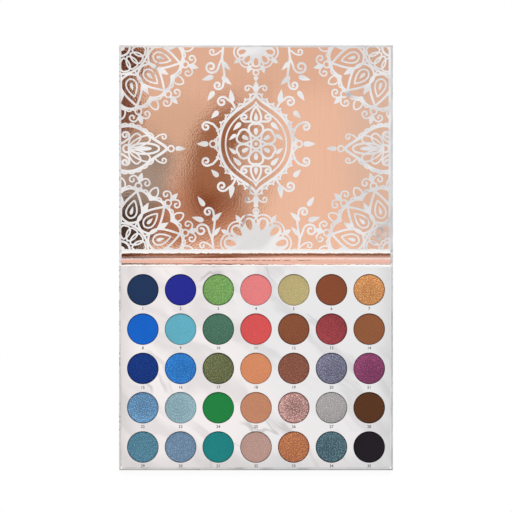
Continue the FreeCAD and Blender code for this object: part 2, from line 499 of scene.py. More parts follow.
rolledMetal = {
    "plain": {"Metallic": 1.0},
    "drawn": (0.05, 1.0, 1.0),
    "roughness": (0.24, 0.4),
    "depth": 0.000004,
}
plainFinishes = {
    "greyboard": {
        "plain": {"Specular IOR Level": 0.2},
        "drawn": (1.0, 0.35, 1.0),
        "noise": (2400.0, 4.0, 0.7),
        "tones": (linear(122, 116, 108), linear(176, 169, 160)),
        "roughness": (0.85, 0.97),
        "depth": 0.00004,
        "shreds": (900.0, 2.0, 0.6, 0.72),  # of lighter paper, in patches
        "shredShare": 0.5,
        "shredTone": linear(205, 198, 188),
    },
    "tinplate": {
        **rolledMetal,
        "noise": (1500.0, 3.0, 0.6),
        "tones": (linear(168, 168, 172), linear(205, 206, 210)),
    },
    "magnet": {
        **rolledMetal,
        "noise": (2600.0, 3.0, 0.6),
        "tones": (linear(150, 150, 155), linear(190, 190, 196)),
    },
    "numberInk": {
        "plain": {"Specular IOR Level": 0.3},
        "drawn": (1.0, 1.0, 1.0),
        "noise": (3000.0, 2.0),
        "tones": (linear(58, 56, 58), linear(92, 90, 92)),
        "roughness": (0.45, 0.65),
    },
}


def makePlainFinish(name, look):
    # one noise, drawn out into fibres or lines, gives the tone, the roughness and the relief
    material, tree, shader = newMaterial(name, look["plain"])
    place = objectPlace(tree)
    grain = noise(tree, vectorCalc(tree, "MULTIPLY", place, look["drawn"]), *look["noise"])
    colour = mixColour(tree, grain, *look["tones"])
    if "shreds" in look:
        shreds = product(tree, patches(tree, place, *look["shreds"]), look["shredShare"])
        colour = mixColour(tree, shreds, colour, look["shredTone"])
    roughness = spread(tree, grain, *look["roughness"])
    setSockets(tree, shader, {"Base Color": colour, "Roughness": roughness})
    if "depth" in look:
        raised(tree, shader, grain, look["depth"])
    return material


finishes = {name: makeMarblePaper(name, look) for name, look in marblePapers.items()}
finishes.update({name: makeFoil(name, *values) for name, values in foils.items()})
finishes.update({name: makePlainFinish(name, look) for name, look in plainFinishes.items()})

nodeFinishes = {
    "coverMarble": ("base_wrap", "lid_wrap", "spine_wrap"),
    "trayMarble": ("tray_wrap",),
    "cardMarble": ("platform",),
    "laceMarble": ("lid_lining",),
    "spineFoil": ("spine_foil",),
    "baseFoldFoil": ("base_hinge_foil",),
    "greyboard": ("base_board", "lid_board", "spine_board",
                  "tray_wall_left", "tray_wall_right", "tray_wall_front", "tray_wall_rear"),
    "tinplate": ("pans",),
    "magnet": ("base_magnets", "lid_magnets"),
}
for finish, names in nodeFinishes.items():
    for name in names:
        nodes[name].data.materials.clear()
        nodes[name].data.materials.append(finishes[finish])
print("finishes made:", len(finishes))


# Pieces are drawn in mm

def addObject(name, data):
    made = bpy.data.objects.new(name, data)
    bpy.context.scene.collection.objects.link(made)
    return made


def makePiece(name, points, faces, material, smoothAngle=None):
    mesh = bpy.data.meshes.new(name)
    mesh.from_pydata([Vector(p) * mm for p in points], [], faces)
    mesh.validate()
    mesh.materials.append(material)
    if smoothAngle is not None:
        mesh.shade_smooth()
        mesh.set_sharp_from_angle(angle=math.radians(smoothAngle))
    return addObject(name, mesh)


def boxInMm(node):
    low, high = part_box(node)
    return low / mm, high / mm


# Pressed powders, left to right and from the back row to the front

shades = {
    # colour as seen, and the press where it isn't matte. Flakes lean to the spark's colour, a painted
    # rim sheen darkens the middle, and a painted side light lights one side, per metre to the right and
    # up. In mm, gap is the space to the pan and swept how deep a finger has gone.
    "navy": {"colour": (35, 55, 90)},
    "indigo": {"colour": (40, 45, 145)},
    "leaf": {"colour": (120, 165, 95), "press": "glitter", "spark": (155, 190, 115), "paintedSideLight": (4, 3)},
    "coralPink": {"colour": (230, 130, 130), "gap": 0.42},
    "khakiGold": {"colour": (185, 170, 120), "press": "satin", "spark": (215, 195, 140),
                  "paintedSideLight": (3, -3), "gap": 0.42},
    "chestnut": {"colour": (135, 75, 50)},
    "amberGold": {"colour": (200, 140, 90), "press": "shimmer", "spark": (245, 190, 120),
                  "paintedRimSheen": 0.2, "paintedSideLight": (0, 9)},
    "brightBlue": {"colour": (25, 100, 200)},
    "aqua": {"colour": (100, 175, 195), "gap": 0.42},
    "deepGreen": {"colour": (75, 115, 95), "press": "satin", "swept": 0.04, "paintedSideLight": (2, 5)},
    "coralRed": {"colour": (215, 85, 85)},
    "russet": {"colour": (135, 80, 55), "press": "satin", "spark": (160, 95, 70)},
    "burgundy": {"colour": (150, 65, 70), "press": "pearl", "spark": (190, 85, 85), "paintedSideLight": (-8, -7)},
    "walnut": {"colour": (145, 90, 60)},
    "royalBlue": {"colour": (25, 55, 125), "press": "satin", "spark": (45, 80, 155), "paintedSideLight": (0, 6)},
    "skyBlue": {"colour": (50, 120, 195), "press": "pearl", "paintedRimSheen": 0.12, "paintedSideLight": (-4, 2)},
    "olive": {"colour": (105, 110, 75), "press": "shimmer", "spark": (145, 145, 90), "paintedSideLight": (-6, 4)},
    "apricot": {"colour": (215, 140, 100), "gap": 0.42},
    "cocoaRose": {"colour": (135, 85, 70), "press": "satin", "spark": (185, 120, 95)},
    "greyViolet": {"colour": (115, 115, 135), "press": "glitter", "spark": (145, 145, 170),
                   "paintedRimSheen": 0.17, "paintedSideLight": (-7, 9)},
    "plum": {"colour": (130, 65, 100), "press": "pearl", "spark": (185, 85, 130),
             "paintedRimSheen": 0.15, "paintedSideLight": (-12, 14)},
    "paleBlue": {"colour": (100, 140, 175), "press": "shimmer", "paintedRimSheen": 0.25, "paintedSideLight": (-2, -7)},
    "mist": {"colour": (140, 170, 180), "press": "satin", "spark": (175, 210, 215), "swept": 0.14,
             "paintedRimSheen": 0.1, "paintedSideLight": (7, 0), "gap": 0.42},
    "emerald": {"colour": (35, 130, 65)},
    "tan": {"colour": (195, 135, 105), "gap": 0.42},
    "roseGlitter": {"colour": (175, 135, 130), "press": "glitter", "spark": (220, 180, 170),
                    "paintedRimSheen": 0.4, "paintedSideLight": (-12, 0)},
    "silver": {"colour": (165, 160, 160), "press": "satin", "paintedSideLight": (-4, 8)},
    "darkBrown": {"colour": (90, 55, 35)},
    "tealBlue": {"colour": (85, 130, 150), "press": "pearl"},
    "periwinkle": {"colour": (110, 135, 160), "press": "pearl"},
    "teal": {"colour": (35, 130, 130)},
    "paleRose": {"colour": (185, 150, 140), "press": "satin", "spark": (215, 175, 165)},
    "copper": {"colour": (180, 115, 80), "press": "shimmer", "spark": (235, 155, 90), "paintedSideLight": (0, 4)},
    "stormTeal": {"colour": (80, 105, 115), "press": "glitter", "spark": (105, 140, 150),
                  "paintedRimSheen": 0.2, "paintedSideLight": (6, 8)},
    "black": {"colour": (35, 30, 35)},
}
presses = {
    # how far flakes go towards the spark, the gap to the pan in mm, inputs of the powder effect
    "matte": (0.38, 0.56, {"Count": 1000.0, "Cloud": 0.12, "Gloss": 0.0, "Tilt": 0.0}),
    "satin": (1.3, 0.6, {"Count": 980.0, "Gloss": 0.12, "Tilt": 0.3}),
    "pearl": (1.7, 0.6, {"Count": 920.0, "Gloss": 0.2, "Tilt": 0.4}),
    "shimmer": (1.9, 0.74, {"Count": 880.0, "Gloss": 0.25, "Tilt": 0.5}),
    "glitter": (2.6, 0.84, {"Count": 840.0, "Gloss": 0.35, "Tilt": 0.8}),
}
powder = {
    "segments": 64,
    "rings": 7,
    "crown": 0.12,  # middle above the edge
    "gapDepth": 1.6,
    "edgeRound": 0.3,  # beside the gap
    "edgeSteps": 4,
    "sweepRings": 40,  # a finer mesh where a finger has swept the powder
    "sweepWidth": 2.6,
    "sweepMiddle": (-2, 5),
    "smoothAngle": 50,
    "flakeShare": 0.14,  # of the surface that is flakes
    "plainSpark": 1.75,  # flakes against the pigment, where a shade names no spark
    "specular": 0.08,
}


def makeShade(number, name, shade, middle):
    plain = {"Specular IOR Level": powder["specular"]}
    material, tree, shader = newMaterial("shade%02d.%s" % (number, name), plain)
    lift, _, press = presses[shade.get("press", "matte")]
    pigment = linear(*shade["colour"])[:3]
    spark = [c * powder["plainSpark"] for c in pigment]
    if "spark" in shade:
        spark = linear(*shade["spark"])[:3]
    flake = [min(1, c + (bright - c) * lift) for c, bright in zip(pigment, spark)]
    # the ground is darker by as much as the flakes add
    ground = [c - powder["flakeShare"] * (bright - c) for c, bright in zip(pigment, flake)]
    pressed = useGroup(tree, pressedPowder, {
        "Flake": (*flake, 1),
        "Ground": (*ground, 1),
        "PaintedRimSheen": shade.get("paintedRimSheen", 0.0),
        "Slope": (*shade.get("paintedSideLight", (0, 0)), 0),
        "Middle": middle * mm,
        **press,
    })
    setSockets(tree, shader, {
        "Base Color": pressed["Color"],
        "Metallic": pressed["Metallic"],
        "Roughness": pressed["Roughness"],
        "Normal": pressed["Normal"],
    })
    return material


def makePowder(number, name, shade):
    low, high = boxInMm("powder_%02d" % number)
    middle = (low + high) / 2
    radius = (high.x - low.x) / 2
    edge = radius - shade.get("gap", presses[shade.get("press", "matte")][1])
    bevel, steps = powder["edgeRound"], powder["edgeSteps"]
    gapFloor = high.z - powder["gapDepth"]
    swept = shade.get("swept", 0)
    rings = powder["sweepRings"] if swept else powder["rings"]
    segments = powder["segments"] * (2 if swept else 1)

    def top(x, y):
        r = math.hypot(x, y)
        z = high.z + powder["crown"] * (1 - (r / edge) ** 2)
        if swept:
            # arcs about a point above the middle, fading to the edge
            reach = math.dist((x, y), powder["sweepMiddle"])
            wave = math.sin(2 * math.pi * reach / powder["sweepWidth"])
            z += swept * wave * max(0, 1 - (r / edge) ** 4)
        over = max(0, r - edge + bevel)
        return z - bevel + math.sqrt(max(0, bevel ** 2 - over ** 2))

    radii = [(edge - bevel) * i / rings for i in range(1, rings + 1)]
    radii += [edge - bevel * (1 - math.sin(math.pi / 2 / steps * i)) for i in range(1, steps + 1)]
    levels = [(r, None) for r in radii]
    levels += [(edge, gapFloor), (radius, gapFloor), (radius, low.z)]
    points = [(middle.x, middle.y, top(0, 0))]
    for r, z in levels:
        for k in range(segments):
            a = 2 * math.pi * k / segments
            x, y = r * math.cos(a), r * math.sin(a)
            points.append((middle.x + x, middle.y + y, top(x, y) if z is None else z))

    def at(level, k):
        return 1 + level * segments + k % segments

    faces = [(0, at(0, k), at(0, k + 1)) for k in range(segments)]
    for i in range(len(levels) - 1):
        faces += [(at(i, k), at(i + 1, k), at(i + 1, k + 1), at(i, k + 1)) for k in range(segments)]
    faces.append([at(len(levels) - 1, k) for k in reversed(range(segments))])
    material = makeShade(number, name, shade, middle)
    piece = makePiece("powder.%02d" % number, points, faces, material, powder["smoothAngle"])
    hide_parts("powder_%02d" % number)
    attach(piece, "base")


for number, (name, shade) in enumerate(shades.items(), start=1):
    makePowder(number, name, shade)
print("powders pressed:", len(shades))


# Plain numbers under the pans

numbers = {
    "size": 3.3,
    "weight": 0.05,  # strokes grown by this much
    "below": 15.6,  # under the middle of each pan
    "thickness": 0.02,
    "sunk": 0.001,
    "curveSteps": 4,
}


def makeNumbers():
    points, faces = [], []
    topOfCard = boxInMm("platform")[1].z
    for number in range(1, len(shades) + 1):
        low, high = boxInMm("powder_%02d" % number)
        text = bpy.data.curves.new("number", "FONT")
        text.body = str(number)
        text.align_x, text.align_y = "CENTER", "CENTER"
        text.size = numbers["size"]
        text.resolution_u = numbers["curveSteps"]
        text.offset = numbers["weight"]
        text.extrude = numbers["thickness"] / 2
        stamp = addObject("number", text)
        evaluated = stamp.evaluated_get(bpy.context.evaluated_depsgraph_get())
        mesh = bpy.data.meshes.new_from_object(evaluated)
        spot = (low + high) / 2
        spot.y -= numbers["below"]
        spot.z = topOfCard + text.extrude - numbers["sunk"]
        first = len(points)
        points += [v.co + spot for v in mesh.vertices]
        faces += [[first + i for i in p.vertices] for p in mesh.polygons]
        bpy.data.objects.remove(stamp)
        bpy.data.curves.remove(text)
        bpy.data.meshes.remove(mesh)
    piece = makePiece("shadeNumbers", points, faces, finishes["numberInk"])
    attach(piece, "base")


makeNumbers()
print("numbers printed")


# Lace left bare in the foil of the lid lining, drawn flat from the crest of the fold

lace = {
    "fine": 1.35,  # widths of its lines
    "line": 1.8,
    "bold": 2.3,
    "step": 0.95,  # spacing of points along a curve
    "edge": 0.15,  # lining left bare round the foil
    "margin": 1.8,  # more of it down the right side
    "thickness": 0.025,
    "sunk": 0.005,
    "weld": 0.0001,  # points nearer than this are one
    "medallionRise": 0.523,  # share of the height
    "lowVines": 35,  # to each side of the middle
    "highVines": 27,
    "lowArch": {"r": 22, "lobe": 5.4, "count": 6, "finial": 5},
    "highArch": {"r": 12.5, "lobe": 4, "count": 5, "finial": 4},
}


def polar(r, degrees):
    a = math.radians(degrees)
    return (r * math.cos(a), r * math.sin(a))


def bezier(p0, p1, p2, p3):
    length = math.dist(p0, p1) + math.dist(p1, p2) + math.dist(p2, p3)
    count = max(4, round(length / lace["step"]))
    points = []
    for i in range(count + 1):
        t = i / count
        weights = ((1 - t) ** 3, 3 * t * (1 - t) ** 2, 3 * t * t * (1 - t), t ** 3)
        pulls = list(zip(weights, (p0, p1, p2, p3)))
        points.append(tuple(sum(w * p[axis] for w, p in pulls) for axis in (0, 1)))
    return points


def arc(centre, r, start, stop):
    count = max(6, round(abs(math.radians(stop - start)) * math.sqrt(r) * 1.7 / lace["step"]))
    spots = [polar(r, start + (stop - start) * i / count) for i in range(count + 1)]
    return [(centre[0] + x, centre[1] + y) for x, y in spots]


def volute(foot, lean, eye, r, start, sweep, tight=0.28):
    # a stem from foot that leans towards a point, then winds in round its eye
    count = max(10, round(abs(math.radians(sweep)) * r * 0.6 / lace["step"]))
    spiral = []
    for i in range(count + 1):
        x, y = polar(r * tight ** (i / count), start + sweep * i / count)
        spiral.append((eye[0] + x, eye[1] + y))
    (x0, y0), (x1, y1) = spiral[:2]
    pull = 0.45 * math.dist(foot, spiral[0]) / math.dist(spiral[0], spiral[1])
    return bezier(foot, lean, (x0 - (x1 - x0) * pull, y0 - (y1 - y0) * pull), spiral[0])[:-1] + spiral


def stroke(path, width):
    # a bare line with round ends, of one of the named widths
    half = lace[width] / 2
    right, left = [], []
    for i, (x, y) in enumerate(path):
        (ax, ay), (bx, by) = path[max(0, i - 1)], path[min(len(path) - 1, i + 1)]
        d = math.dist((ax, ay), (bx, by)) / half
        nx, ny = (ay - by) / d, (bx - ax) / d
        right.append((x - nx, y - ny))
        left.append((x + nx, y + ny))

    def cap(end, side):
        a = math.degrees(math.atan2(side[1] - end[1], side[0] - end[0]))
        return [(end[0] + x, end[1] + y) for x, y in (polar(half, a + 36 * k) for k in range(1, 5))]

    return [("bare", right + cap(path[-1], right[-1]) + left[::-1] + cap(path[0], left[0]))]


def dot(centre, r):
    return [("bare", arc(centre, r, 0, 360)[:-1])]


def ring(centre, r, width):
    # two strokes that just overlap
    return stroke(arc(centre, r, -1, 181), width) + stroke(arc(centre, r, 179, 361), width)


def leafSides(foot, tip, half, belly, waist):
    # belly is where the leaf is widest, waist how full it stays near its tip
    dx, dy = tip[0] - foot[0], tip[1] - foot[1]
    length = math.hypot(dx, dy)
    ux, uy = dx / length, dy / length

    def at(along, across):
        return (foot[0] + dx * along - uy * across, foot[1] + dy * along + ux * across)

    def edge(side):
        wide = at(belly * 0.35, side * half * 1.75)
        narrow = at(0.5 + belly * 0.7, side * half * waist * 1.9)
        return bezier(foot, wide, narrow, tip)

    return edge(-1), edge(1)


def leaf(foot, tip, half, width, belly=0.3, waist=0.3):
    right, left = leafSides(foot, tip, half, belly, waist)
    return stroke(right, width) + stroke(left, width)


def drop(foot, tip, half, kind="bare", belly=0.3, waist=0.3):
    right, left = leafSides(foot, tip, half, belly, waist)
    return [(kind, right + left[-2:0:-1])]


def scallops(path, count, bulge, width, bead=0):
    # bows along the left of a path, each with a bead where bead gives its radius
    reach = [0]
    for a, b in zip(path, path[1:]):
        reach.append(reach[-1] + math.dist(a, b))

    def spot(share):
        goal = share * reach[-1]
        i = next(k for k in range(1, len(path)) if reach[k] >= goal - 1e-9)
        t = (goal - reach[i - 1]) / (reach[i] - reach[i - 1])
        return tuple(a + (b - a) * t for a, b in zip(path[i - 1], path[i]))

    shapes = []
    for i in range(count):
        (ax, ay), (bx, by) = spot(i / count), spot((i + 1) / count)
        span = math.dist((ax, ay), (bx, by))
        nx, ny = (ay - by) / span, (bx - ax) / span
        lift = bulge * 1.35
        rise, fall = (ax + nx * lift, ay + ny * lift), (bx + nx * lift, by + ny * lift)
        shapes += stroke(bezier((ax, ay), rise, fall, (bx, by)), width)
        if bead:
            top = bulge + lace[width] / 2 + bead * 0.6
            shapes += dot(((ax + bx) / 2 + nx * top, (ay + by) / 2 + ny * top), bead)
    return shapes


def setDown(shapes, flipX=1, flipY=1, at=(0, 0)):
    moved = []
    for kind, outline in shapes:
        points = [(at[0] + flipX * x, at[1] + flipY * y) for x, y in outline]
        moved.append((kind, points if flipX * flipY > 0 else points[::-1]))
    return moved


def cornerFan():
    # a quarter of a round fan, in rows of petals about the corner
    shapes = ring((0, 0), 7, "line") + dot((0, 0), 3)
    for a in (11.25, 33.75, 56.25, 78.75):
        shapes += leaf(polar(9, a), polar(20, a), 3.4, "fine", 0.9, 0.8)
    shapes += ring((0, 0), 22, "line")
    for a in range(15, 90, 30):
        shapes += leaf(polar(23, a), polar(50, a), 10, "line", 0.35, 0.25)
        shapes += leaf(polar(27, a), polar(42, a), 4.6, "fine", 0.4, 0.35)
        shapes += drop(polar(30, a), polar(37, a), 1.5)
        shapes += ring(polar(54.5, a), 2.6, "fine")
        shapes += drop(polar(58, a), polar(66, a), 2.4)
        for side in (-1, 1):
            eye = polar(58.5, a + side * 6)
            curl = volute(polar(57, a), polar(60, a + side), eye, 3, a + side * 20, side * 300, 0.4)
            shapes += stroke(curl, "fine")
    for a in range(0, 91, 30):
        shapes += stroke([polar(22, a), polar(30, a), polar(37, a)], "fine")
        shapes += drop(polar(35, a), polar(45, a), 2.6)
        for side in (-1, 1):
            rise, fall = polar(53, a + side * 11), polar(51, a + side * 4)
            bow = bezier(polar(50, a + side * 15), rise, fall, polar(47.5, a))
            shapes += stroke(bow, "line")
            shapes += scallops(bow[::side], 3, 2.4, "fine")
        shapes += leaf(polar(49, a), polar(59, a), 3.2, "fine", 0.6, 0.5)
    return shapes


def medallion():
    # an upright pointed oval round a six-petalled flower, from one quarter
    rim = bezier((0, 41), (3, 31), (30, 28), (30, 0))
    quarter = stroke(rim, "bold")
    quarter += scallops(rim, 8, 2.6, "fine", 0.9)
    quarter += stroke(bezier((0, 34.5), (2, 27), (25, 23), (25, 0)), "fine")
    quarter += stroke(volute((16, 27), (20, 36), (28, 34.5), 5, 150, -440), "line")
    quarter += drop((19.5, 34), (21, 45), 2.5)
    quarter += drop((31, 27), (37, 21), 2.3)
    quarter += stroke(volute((31.5, 12), (36, 17), (41, 14), 4.4, 130, -420), "line")
    quarter += stroke(volute((0, 17.5), (4, 19), (9.4, 22), 3.8, -110, 420), "line")
    quarter += drop((12.5, 17.5), (19, 11), 2.1)
    quarter += drop((16.5, 8), (22.5, 3), 1.7)
    quarter += stroke(volute((0, 44), (4, 47), (7, 45.5), 2.8, 130, -330, 0.4), "fine")
    shapes = []
    for flipX in (-1, 1):
        for flipY in (-1, 1):
            shapes += setDown(quarter, flipX, flipY)
    for side in (-1, 1):
        shapes += leaf((0, side * 16.5), (0, side * 31), 4.6, "line", 0.4, 0.3)
        shapes += drop((0, side * 19), (0, side * 26), 1.8)
        shapes += drop((0, side * 42), (0, side * 52), 2.6, belly=0.5)
        shapes += ring((side * 35.4, 0), 2.6, "fine")
        shapes += drop((side * 39, 0), (side * 49, 0), 2.5)
    for a in range(30, 390, 60):
        shapes += leaf(polar(5, a), polar(16.5, a), 5, "line", 0.9, 0.75)
        shapes += drop(polar(7, a), polar(13, a), 1.5, belly=0.9, waist=0.7)
    return shapes + ring((0, 0), 4, "line") + dot((0, 0), 1.5)


def palmette():
    # lobes spread from the edge under a pointed arch
    rise = bezier((0, 18), (12, 21), (19, 14), (26, 8.5))
    half = stroke(rise, "bold") + scallops(rise, 5, 2.2, "fine")
    half += stroke(bezier((26, 8.5), (30, 5.5), (34, 4), (38, 0)), "bold")
    half += stroke(volute((28, 8.5), (31, 11), (35, 9.5), 2.8, 130, -340, 0.4), "fine")
    half += stroke(volute((-2, 3.5), (2, 5), (3.2, 11), 4.2, -75, 460), "line")
    for a, length in ((26, 19), (52, 14)):
        x, y = polar(length, a)
        half += leaf((6, 1.2), (6 + x, 1.2 + y * 0.92), 2.8, "fine", 0.9, 0.8)
    shapes = setDown(half) + setDown(half, 1, -1)
    shapes += leaf((6, 0), (31, 0), 4.2, "line", 0.8, 0.5)
    shapes += drop((11, 0), (25, 0), 1.7, belly=0.8, waist=0.5)
    shapes += ring((41, 0), 2.4, "fine") + drop((44.5, 0), (53, 0), 2.2)
    return shapes + ring((4.5, 0), 3, "line")


def arch(r, lobe, count, finial):
    # bare paper under a scalloped arch, set with drops of foil
    shapes = [("bare", arc((0, 0), r, -6, 186))]
    hood = 2.3  # outside each lobe
    middles = [180 / count * (i + 0.5) for i in range(count)]
    for a in middles:
        shapes += stroke(arc(polar(r, a), lobe + hood, a - 100, a + 100), "fine")
    for a in middles:
        shapes += dot(polar(r, a), lobe)
    for a in middles:
        shapes += drop(polar(r - lobe, a), polar(r + lobe - 1.6, a), lobe * 0.42, "foil", 0.9, 0.7)
    for i in range(1, count):
        a = 180 / count * i
        shapes += drop(polar(r + lobe, a), polar(r + lobe + 6, a), 2)
    top = r + lobe + hood
    return shapes + ring((0, top + 2), 2.2, "fine") + drop((0, top + 5), (0, top + 5 + finial), 2.2)


def vine():
    # scrolls that climb from the edge between an arch and a fan
    shapes = stroke(volute((0, -2), (1, 14), (10, 16), 6.2, 180, -470), "line")
    shapes += stroke(volute((1, 8), (-1, 24), (4.5, 31), 4.6, 190, -430), "line")
    shapes += stroke(volute((0.5, 2), (5, 5), (9, 3.5), 3.2, 130, -350, 0.35), "fine")
    shapes += drop((1, 24), (-7, 31), 2.3) + drop((8, 24), (18, 27), 2.4)
    return shapes + drop((7.5, 36), (13, 44), 2.3) + drop((0.5, 12), (-6, 19), 2)


def laceShapes(half, height):
    shapes = []
    for side in (-1, 1):
        shapes += setDown(cornerFan(), -side, 1, (side * half, 0))
        shapes += setDown(cornerFan(), -side, -1, (side * half, height))
        shapes += setDown(palmette(), -side, 1, (side * half, height / 2))
        shapes += setDown(vine(), side, 1, (side * lace["lowVines"], 0))
        shapes += setDown(vine(), side, -1, (side * lace["highVines"], height))
    shapes += setDown(medallion(), at=(0, height * lace["medallionRise"]))
    shapes += arch(**lace["lowArch"])
    return shapes + setDown(arch(**lace["highArch"]), 1, -1, (0, height))


def makeLidFoil():
    low, high = boxInMm("lid_lining")
    crest = low.y + high.z - low.z  # the mitre falls at 45 degrees
    half, height = high.x - lace["edge"], high.y - lace["edge"] - crest
    right = half - lace["margin"]
    sheet = [(-half, 0), (right, 0), (right, height), (-half, height)]
    shapes = [("foil", sheet)] + laceShapes(half, height)
    flat, outlines = [], []
    for kind, outline in shapes:
        outlines.append(list(range(len(flat), len(flat) + len(outline))))
        flat += [Vector(p) for p in outline]
    # triangles, and the shapes that cover each
    spots, _, triangles, _, _, covers = delaunay_2d_cdt(flat, [], outlines, 1, lace["weld"])
    # the last shape laid over a triangle says whether it is foil
    foil = [t for t, ids in zip(triangles, covers) if 0 in ids and shapes[max(ids)][0] == "foil"]

    used = sorted({i for t in foil for i in t})
    order = {i: k for k, i in enumerate(used)}
    top = [(spots[i].x, crest + spots[i].y, high.z + lace["thickness"]) for i in used]
    under = [(x, y, high.z - lace["sunk"]) for x, y, _ in top]
    faces = [tuple(order[i] for i in t) for t in foil]
    edges = {(a, b) for t in faces for a, b in zip(t, t[1:] + t[:1])}
    count = len(used)
    walls = [(b, a, a + count, b + count) for a, b in edges if (b, a) not in edges]
    faces += [tuple(i + count for i in reversed(t)) for t in faces] + sorted(walls)
    piece = makePiece("lidFoil", top + under, faces, finishes["stampedFoil"])
    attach(piece, "lid")
    return len(foil)


print("lid foil stamped:", makeLidFoil(), "faces")


# Paper and foil that run on over the spine and its two folds

folds = {
    "segments": 28,
    "smoothAngle": 15,
    "bend": 1.9,  # half the width that turns with a fold
    "overlap": 0.1,  # of the foil onto the flats beside a fold
    "lidFoil": {"thickness": 0.05, "lift": 0.03, "valley": 0.3, "finish": "lidFoldFoil"},
    "baseFoil": {"thickness": 0.05, "lift": 0.03, "valley": 0.24, "finish": "baseFoldFoil"},
    "turnIn": {"thickness": 0.1, "lift": 0.012, "valley": 0.6, "beyond": 0.1},
    "outside": {"half": 0.17, "low": 0.004, "high": 0.06, "segments": 8},
    # foil swollen along the spine
    "ridge": {"height": 0.26, "middle": -0.5, "foot": 0.05, "tilt": 0.02},
}


def evenly(low, high, count):
    return [low + (high - low) * i / count for i in range(count + 1)]


def makeStrip(name, topLine, underLine, spans, finish):
    # closed strips across the palette between two lines in Y and Z, one for each span of X
    section = topLine + underLine[::-1]
    count = len(section)
    points, faces = [], []
    for span in spans:
        first = len(points)
        points += [(x, y, z) for x in span for y, z in section]
        strip = [(i, (i + 1) % count, (i + 1) % count + count, i + count) for i in range(count)]
        for i in range(len(topLine) - 1):
            a, b, c, d = i, i + 1, count - 2 - i, count - 1 - i
            strip += [(a, d, c, b), (a + count, b + count, c + count, d + count)]
        faces += [[first + i for i in face] for face in strip]
    return makePiece(name, points, faces, finishes[finish], folds["smoothAngle"])


def spineFlat():
    low, high = boxInMm("spine_foil")
    return high.y - (high.z - low.z) - folds["overlap"]  # its mitres fall at 45 degrees


def spineTop(y):
    ridge, half = folds["ridge"], spineFlat()
    crest = ridge["middle"]
    share = (y - crest) / (half - crest if y > crest else half + crest)
    z = boxInMm("spine_wrap")[1].z + ridge["foot"] + ridge["tilt"] * (half - y)
    return z + ridge["height"] * math.cos(math.pi / 2 * share)


def makeSpineFoil():
    low, high = boxInMm("spine_foil")
    boardTop = boxInMm("spine_wrap")[1].z
    slant = (high.z - boardTop) * math.sqrt(2)
    ys = evenly(-spineFlat(), spineFlat(), folds["segments"])
    topLine = [(low.y, low.z)] + [(y, spineTop(y)) for y in ys] + [(high.y, low.z)]
    underLine = [(low.y + slant, low.z)] + [(y, boardTop) for y in ys] + [(high.y - slant, low.z)]
    foil = makeStrip("spineFoil", topLine, underLine, [(low.x, high.x)], "spineFoil")
    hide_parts("spine_foil")
    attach(foil, "spine")


def makeFold(joint):
    middle = joint["pos_m"][1] / mm
    side = 1 if middle > 0 else -1
    reach = abs(middle) - spineFlat()
    foilEnd = boxInMm("spine_foil")[1].x
    paperEnd = boxInMm("spine_wrap")[1].x

    def valley(look, nearSpine, nearPanel):
        # from the spine to the panel, sinking between them
        sinking = []
        for t in evenly(0, 1, folds["segments"]):
            z = nearSpine + (nearPanel - nearSpine) * t - look["valley"] * math.sin(math.pi * t)
            sinking.append((middle + side * reach * (2 * t - 1), z + look["lift"]))
        sinking = sinking[::side]
        return sinking, [(y, z - look["thickness"]) for y, z in sinking]

    def bridge(kind, lines, spans, finish):
        piece = makeStrip(joint["name"] + "." + kind, *lines, spans, finish)
        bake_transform(piece)

    foil = folds["lidFoil" if side > 0 else "baseFoil"]
    lines = valley(foil, spineTop(side * spineFlat()), boxInMm("lid_lining")[1].z)
    bridge("foil", lines, [(-foilEnd, foilEnd)], foil["finish"])

    turnIn = folds["turnIn"]
    lines = valley(turnIn, boxInMm("spine_wrap")[1].z, boxInMm("lid_wrap")[1].z)
    inner, outer = foilEnd - turnIn["beyond"], paperEnd - turnIn["beyond"]
    spans = [(-outer, -inner), (inner, outer)]
    bridge("turnIn", lines, spans, "coverMarble")

    outside = folds["outside"]
    half = outside["half"]
    ys = evenly(middle - half, middle + half, outside["segments"])
    lines = [[(y, outside[level]) for y in ys] for level in ("high", "low")]
    bridge("paper", lines, [(-paperEnd, paperEnd)], "coverMarble")


makeSpineFoil()
for joint in frame["joints"]:
    makeFold(joint)
print("spine and folds lined")


# Studio, in metres

studio = {
    "cameraHeight": 3.0,
    "sensor": 36.0,
    "frameWidth": 0.4217,  # what the picture takes in at the palette
    "aim": (0.0, 0.0014),
    "fill": 0.58,  # light from all round
    "keyPower": 270.0,
    "keyPlace": (-0.2, 4.6, 5.0),
    "keySize": (4.0, 2.4),
    "floorSize": 12.0,
    "floorDrop": 0.0002,
    "floorWhite": (0.9, 0.9, 0.9, 1),
    "floorShade": 0.1,  # how much of the floor's white a shadow can take away
    "floorLit": 0.93,  # what the lights give back of it
}


def seenDirectly(tree):
    # rays from the camera, or by way of metal or glass
    path = addNode(tree, "LightPath")
    seen = calc(tree, "MAXIMUM", path["Is Camera Ray"], path["Is Glossy Ray"])
    return calc(tree, "MAXIMUM", seen, path["Is Transmission Ray"])


def makeWorld():
    world = bpy.data.worlds.new("studio")
    world.use_nodes = True
    tree = world.node_tree
    tree.nodes.clear()
    fill = addNode(tree, "Background", {"Color": white, "Strength": studio["fill"]})[0]
    seen = addNode(tree, "Background", {"Color": white, "Strength": 1.0})[0]
    both = addNode(tree, "MixShader", {0: seenDirectly(tree), 1: fill, 2: seen})[0]
    addNode(tree, "OutputWorld", {"Surface": both})
    bpy.context.scene.world = world


def makeKey():
    light = bpy.data.lights.new("key", "AREA")
    light.shape = "RECTANGLE"
    light.size, light.size_y = studio["keySize"]
    light.energy = studio["keyPower"]
    lamp = addObject("key", light)
    lamp.location = studio["keyPlace"]
    lamp.rotation_euler = (-lamp.location).to_track_quat("-Z", "Y").to_euler()


